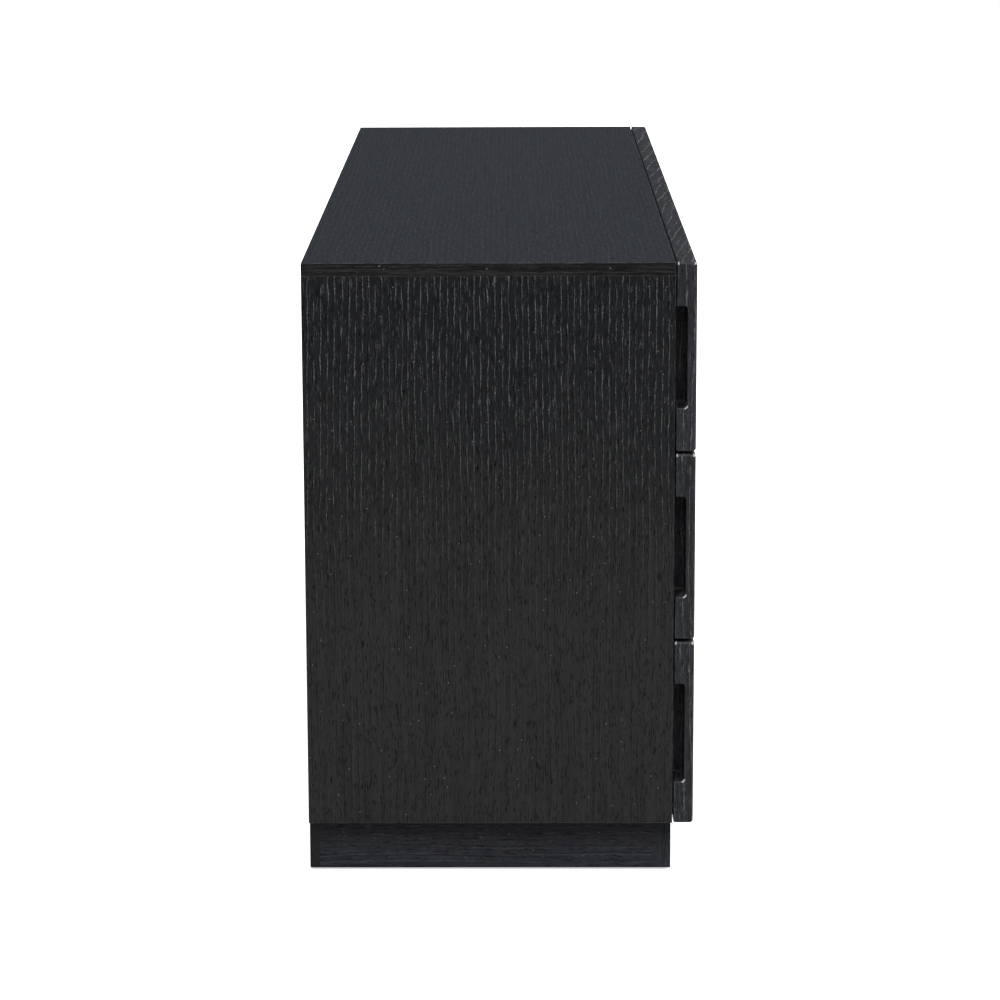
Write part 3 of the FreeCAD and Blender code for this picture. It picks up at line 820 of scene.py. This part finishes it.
def build_screw_tree():
    """A domed head with a cross recess, made from a square net of faces drawn out to a disc."""
    number = "NodeSocketFloat"
    tree, given = tree_for("screw_heads", [
        ("Head Radius", number), ("Head Height", number), ("Recess Depth", number),
        ("Material", "NodeSocketMaterial"),
    ])
    net = put(tree, "GeometryNodeMeshGrid", {
        "Size X": 2.0, "Size Y": 2.0, "Vertices X": 6, "Vertices Y": 6,
    })
    at = put(tree, "ShaderNodeSeparateXYZ", {0: put(tree, "GeometryNodeInputPosition").outputs[0]})
    reach = math_node(
        tree, "ADD", math_node(tree, "ABSOLUTE", at.outputs["X"]),
        math_node(tree, "ABSOLUTE", at.outputs["Y"]),
    )
    cross_reach = 0.5
    in_cross = put(
        tree, "FunctionNodeCompare", {0: reach, 1: cross_reach}, operation="LESS_THAN",
    ).outputs[0]
    sunk = put(tree, "GeometryNodeExtrudeMesh", {
        "Mesh": net.outputs[0], "Selection": in_cross, "Individual": False,
        "Offset Scale": math_node(tree, "MULTIPLY", given.outputs["Recess Depth"], -1.0),
    }, mode="FACES")
    half_square = {}
    for axis in "XY":
        square = math_node(tree, "MULTIPLY", at.outputs[axis], at.outputs[axis])
        half_square[axis] = math_node(tree, "MULTIPLY", square, 0.5)
    placed = []
    for axis, other in ("XY", "YX"):
        narrowed = math_node(tree, "SQRT", math_node(tree, "SUBTRACT", 1.0, half_square[other]))
        on_disc = math_node(tree, "MULTIPLY", at.outputs[axis], narrowed)
        placed.append(math_node(tree, "MULTIPLY", on_disc, given.outputs["Head Radius"]))
    rim_share = 0.5
    fall = math_node(tree, "ADD", half_square["X"], half_square["Y"])
    dome = math_node(tree, "SUBTRACT", 1.0, math_node(tree, "MULTIPLY", fall, 1 - rim_share))
    dome = math_node(tree, "MULTIPLY", dome, given.outputs["Head Height"])
    placed.append(math_node(tree, "ADD", at.outputs["Z"], dome))
    disc = put(tree, "GeometryNodeSetPosition", {
        "Geometry": sunk.outputs[0], "Position": joined(tree, placed),
    })
    faces = put(tree, "GeometryNodeInputMeshEdgeNeighbors").outputs[0]
    rim = put(
        tree, "FunctionNodeCompare", {2: faces, 3: 1}, data_type="INT", operation="EQUAL",
    ).outputs[0]
    down = math_node(tree, "MULTIPLY", given.outputs["Head Height"], -rim_share)
    down = joined(tree, (0.0, 0.0, down))
    head = put(tree, "GeometryNodeExtrudeMesh", {
        "Mesh": disc.outputs[0], "Selection": rim, "Offset": down, "Offset Scale": 1.0,
    }, mode="EDGES")
    return finish_tree(tree, given, head.outputs[0])


screw_tree = build_screw_tree()


def set_out(name, places, tree, values, body):
    """Make one piece from marked points: run its tree, keep a plain closed mesh, and ride it."""
    mesh = bpy.data.meshes.new(name + "_points")
    mesh.from_pydata([place for place, facing in places], [], [])
    facings = mesh.attributes.new("facing", "FLOAT_VECTOR", "POINT")
    for item, (place, facing) in zip(facings.data, places):
        item.vector = facing
    piece = bpy.data.objects.new(name, mesh)
    bpy.context.scene.collection.objects.link(piece)
    modifier = piece.modifiers.new("made", "NODES")
    modifier.node_group = tree
    sockets = {
        item.name: item.identifier for item in tree.interface.items_tree
        if item.in_out == "INPUT"
    }
    for value_name, value in values.items():
        modifier[sockets[value_name]] = value
    bpy.context.view_layer.update()
    seen = piece.evaluated_get(bpy.context.evaluated_depsgraph_get())
    plain = bpy.data.meshes.new_from_object(seen)
    piece.modifiers.remove(modifier)
    piece.data = plain
    shape = bmesh.new()
    shape.from_mesh(plain)
    open_edges = [edge for edge in shape.edges if edge.is_boundary]
    if open_edges:
        bmesh.ops.holes_fill(shape, edges=open_edges, sides=0)
    bmesh.ops.recalc_face_normals(shape, faces=shape.faces[:])
    shape.to_mesh(plain)
    shape.free()
    for item in plain.polygons:
        item.use_smooth = False
    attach(piece, body)
    return piece


def middles(node):
    """The middle and the box of each loose solid of a CAD node, sorted by their middles."""
    alike = 1e-6
    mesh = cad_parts[node].data
    shape = bmesh.new()
    shape.from_mesh(mesh)
    bmesh.ops.remove_doubles(shape, verts=shape.verts[:], dist=alike)
    found = []
    left = set(shape.verts)
    while left:
        stack = [left.pop()]
        group = []
        while stack:
            vert = stack.pop()
            group.append(vert.co.copy())
            for edge in vert.link_edges:
                other = edge.other_vert(vert)
                if other in left:
                    left.remove(other)
                    stack.append(other)
        low = Vector([min(point[axis] for point in group) for axis in range(3)])
        high = Vector([max(point[axis] for point in group) for axis in range(3)])
        found.append(((low + high) / 2, low, high))
    shape.free()
    found.sort(key=lambda item: tuple(round(value, 5) for value in item[0]))
    return found


black_screw = worked(
    "black_screw_steel", (0.018, 0.018, 0.019, 1), (0.040, 0.040, 0.042, 1), metallic=0.7,
    rough=0.38, bump=0.2, edge_colour=(0.12, 0.12, 0.12, 1),
)
back_head_height = 0.002
back_heads = []
for middle, low, high in middles("back_screws"):
    back_heads.append(((middle.x, high.y - back_head_height, middle.z), (0, 1, 0)))
back_screw_heads = set_out(
    "back_screw_heads", back_heads, screw_tree,
    {"Head Radius": 0.004, "Head Height": back_head_height, "Recess Depth": 0.0012,
     "Material": black_screw},
    "case",
)
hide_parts("back_screws")

# ---------------------------------------------------------------------------------------------
# Soft pads, four behind each drawer front. They are small domes of black rubber, stuck to the
# front edges of the case, and each drawer closes against them without a sound.

cover(
    worked(
        "bumper_rubber", (0.016, 0.016, 0.016, 1), (0.030, 0.030, 0.030, 1), rough=0.62,
        bump=0.3, patch_scale=200.0,
    ),
    "bumpers",
)


# ---------------------------------------------------------------------------------------------
# Drawer runners. Three channels of zinc-plated strip steel nest in each other, and run on steel
# balls that a thin cage holds apart. Flat screw heads hold the outer one to the case.

runner_steel = worked(
    "runner_steel", (0.44, 0.45, 0.46, 1), (0.53, 0.54, 0.55, 1), metallic=1.0, rough=0.36,
    bump=0.12, mark=0.6, patch_scale=25.0,
)
ball_steel = worked(
    "ball_steel", (0.62, 0.63, 0.64, 1), (0.74, 0.75, 0.76, 1), metallic=1.0, rough=0.14,
    bump=0.05, mark=0.2, patch_scale=300.0,
)
cover(runner_steel, "runner_case_members")


def build_ball_tree():
    """A steel ball on every point."""
    tree, given = tree_for("runner_balls", [
        ("Ball Radius", "NodeSocketFloat"), ("Material", "NodeSocketMaterial"),
    ])
    ball = put(tree, "GeometryNodeMeshUVSphere", {
        "Segments": 8, "Rings": 6, "Radius": given.outputs["Ball Radius"],
    })
    return finish_tree(tree, given, ball.outputs[0])


ball_tree = build_ball_tree()
strip_gauge = 0.0012
ball_radius = 0.00155
ball_step = 0.012
cage_gauge = 0.0007
cage_width = 0.0046
cage_roll = 0.00025
runner_screw_inset = 0.040


def ball_rows(middle_member, outer_member, inner_member):
    """Places of the balls of one runner, and the ends of the cages that hold them.

    The outer balls sit in the rear half of the middle member and the inner ones in its front
    half, so both rows stay between their channels over the whole travel.
    """
    centre, low, high = middle_member
    half_y = (low.y + high.y) / 2
    balls = []
    cages = []
    for (_, partner_low, partner_high), start, end in (
        (outer_member, half_y + ball_step, high.y - ball_step),
        (inner_member, low.y + ball_step, half_y - ball_step),
    ):
        x = (max(low.x, partner_low.x) + min(high.x, partner_high.x)) / 2
        flange = (high.z - low.z) / 2
        partner_flange = (partner_high.z - partner_low.z) / 2
        gap = (flange + partner_flange - strip_gauge) / 2
        count = int((end - start) / ball_step)
        for z in (centre.z - gap, centre.z + gap):
            for step in range(count + 1):
                balls.append(((x, start + ball_step * step, z), (0, 0, 1)))
            cages.append((x, start - ball_step / 2, start + ball_step * (count + 0.5), z))
    return balls, cages


def cage_strips(name, cages, body):
    """Thin steel strips along the rows of balls, with their edges rolled over."""
    shape = bmesh.new()
    for x, start, end, z in cages:
        made = bmesh.ops.create_cube(shape, size=1.0)
        place = Matrix.Translation((x, (start + end) / 2, z)) @ Matrix.Diagonal(
            (cage_width, end - start, cage_gauge, 1.0)
        )
        bmesh.ops.transform(shape, matrix=place, verts=made["verts"])
    mesh = bpy.data.meshes.new(name)
    shape.to_mesh(mesh)
    shape.free()
    mesh.materials.append(runner_steel)
    piece = bpy.data.objects.new(name, mesh)
    bpy.context.scene.collection.objects.link(piece)
    roll = piece.modifiers.new("rolled_edges", "BEVEL")
    roll.width = cage_roll
    roll.segments = 2
    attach(piece, body)


def runner_heads(member, way):
    """Three screw heads on the web of a runner member that faces one way along X."""
    middle, low, high = member
    web_x = (low.x + strip_gauge) if way > 0 else (high.x - strip_gauge)
    rows = (low.y + runner_screw_inset, middle.y, high.y - runner_screw_inset)
    return [((web_x, y, middle.z), (way, 0, 0)) for y in rows]


case_members = middles("runner_case_members")
case_heads = []
touching = 0.001
left_walls = (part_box("side_panel_left")[1].x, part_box("centre_divider")[1].x)
for member in case_members:
    on_left_wall = min(abs(member[1].x - wall) for wall in left_walls) < touching
    case_heads += runner_heads(member, 1 if on_left_wall else -1)
set_out(
    "case_runner_screw_heads", case_heads, screw_tree,
    {"Head Radius": 0.0038, "Head Height": 0.0006, "Recess Depth": 0.0003,
     "Material": plated_steel},
    "case",
)


# ---------------------------------------------------------------------------------------------
# Drawer boxes. Four boards of lacquered birch, joined at the corners by glued pins whose ends
# show outside, round a thin plywood bottom in a groove. Three screws hold each runner, and four
# go through the front board of the box into the drawer front.

box_board = {"spacing": 7.0, "rough": 0.4, "gloss": 0.4}
birch = ((0.50, 0.355, 0.215, 1), (0.66, 0.51, 0.34, 1), (0.36, 0.23, 0.12, 1))
box_side_wood = plain_wood("lacquered_birch_sides", "YZX", *birch, seed=21.0, **box_board)
box_end_wood = plain_wood("lacquered_birch_ends", "XZY", *birch, seed=22.0, **box_board)
bottom_ply = plain_wood(
    "birch_ply", "XYZ", (0.56, 0.42, 0.27, 1), (0.70, 0.56, 0.39, 1),
    (0.40, 0.27, 0.15, 1), seed=23.0, spacing=11.0, rough=0.45, gloss=0.35,
)
pin_wood = plain_wood(
    "corner_pin_wood", "ZYX", (0.36, 0.23, 0.12, 1), (0.52, 0.36, 0.21, 1),
    (0.24, 0.14, 0.07, 1), seed=24.0, spacing=2.0, rough=0.45, gloss=0.3,
)


def build_pin_tree():
    """The round end of a wooden pin, sanded almost flush with the board."""
    tree, given = tree_for("pin_ends", [
        ("Pin Radius", "NodeSocketFloat"), ("Pin Length", "NodeSocketFloat"),
        ("Material", "NodeSocketMaterial"),
    ])
    pin = put(tree, "GeometryNodeMeshCylinder", {
        "Vertices": 16, "Radius": given.outputs["Pin Radius"],
        "Depth": given.outputs["Pin Length"],
    })
    return finish_tree(tree, given, pin.outputs[0])


pin_tree = build_pin_tree()
sides_of_case = ("left", "right")
rows_of_drawers = ("bottom", "middle", "top")
box_wall = 0.012
pin_rises = (0.14, 0.66, 0.88)
front_screw_rises = (0.42, 0.78)
front_screw_acrosses = (0.2, 0.8)
for row in rows_of_drawers:
    for side in sides_of_case:
        drawer = side + "_" + row
        body = "drawer_" + drawer
        cover(box_side_wood, drawer + "_box_sides")
        cover(box_end_wood, drawer + "_box_ends")
        cover(bottom_ply, drawer + "_box_bottom")
        cover(runner_steel, drawer + "_runner_inner", drawer + "_runner_middle")
        bottom_low, bottom_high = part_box(drawer + "_box_bottom")
        drawer_x = (bottom_low.x + bottom_high.x) / 2

        pins = []
        for middle, low, high in middles(drawer + "_box_sides"):
            outward = 1 if middle.x > drawer_x else -1
            face_x = high.x if outward > 0 else low.x
            wall = high.x - low.x
            for y in (low.y + wall / 2, high.y - wall / 2):
                for rise in pin_rises:
                    z = low.z + rise * (high.z - low.z)
                    pins.append(((face_x, y, z), (outward, 0, 0)))
        set_out(
            drawer + "_corner_pins", pins, pin_tree,
            {"Pin Radius": 0.003, "Pin Length": 0.0003, "Material": pin_wood},
            body,
        )

        heads = []
        inners = middles(drawer + "_runner_inner")
        for member in inners:
            heads += runner_heads(member, 1 if member[0].x > drawer_x else -1)
        low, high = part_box(drawer + "_box_ends")
        for across in front_screw_acrosses:
            for rise in front_screw_rises:
                x = low.x + across * (high.x - low.x)
                z = low.z + rise * (high.z - low.z)
                heads.append(((x, low.y + box_wall, z), (0, 1, 0)))
        set_out(
            drawer + "_screw_heads", heads, screw_tree,
            {"Head Radius": 0.0038, "Head Height": 0.0014, "Recess Depth": 0.0009,
             "Material": plated_steel},
            body,
        )

        balls = []
        cages = []
        for index, member in enumerate(middles(drawer + "_runner_middle")):
            outer = min(case_members, key=lambda item: (item[0] - member[0]).length)
            made_balls, made_cages = ball_rows(member, outer, inners[index])
            balls += made_balls
            cages += made_cages
        runner = "runner_" + drawer
        set_out(
            drawer + "_runner_balls", balls, ball_tree,
            {"Ball Radius": ball_radius, "Material": ball_steel}, runner,
        )
        cage_strips(drawer + "_ball_cages", cages, runner)


# ---------------------------------------------------------------------------------------------
# Drawer fronts. Thick boards of solid black-stained ash, with the figure of the tree's rings
# along them, rounded edges, and at the outer end a finger pull milled in from behind.

pith_behind = 0.10
pith_behind_step = 0.02
pith_below = 0.03
pith_slope = 0.14
first_seed = 30.0
drawers = [side + "_" + row for side in sides_of_case for row in rows_of_drawers]
for index, drawer in enumerate(drawers):
    low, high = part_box(drawer + "_front")
    pith_depth = high.y + pith_behind + pith_behind_step * (index % 3)
    pith_height = (low.z + high.z) / 2 - pith_below * (1 - index % 2)
    cover(
        black_ash(
            "black_ash_front_" + drawer, "XZY", "ZYX", streak=1.2, pore=0.8,
            seed=first_seed + index, drift=30.0, spacing=10.0, specks=3.6,
            # The outer upper corners take a strong painted highlight, and the edges a light one
            # that is partly wear.
            base=(0.0128, 0.0134, 0.0152), rough=0.47, edge_wear_and_highlight=0.22, corner=0.55,
            end_streak=0.6, pith=(pith_depth, pith_height, pith_slope),
        ),
        drawer + "_front",
    )
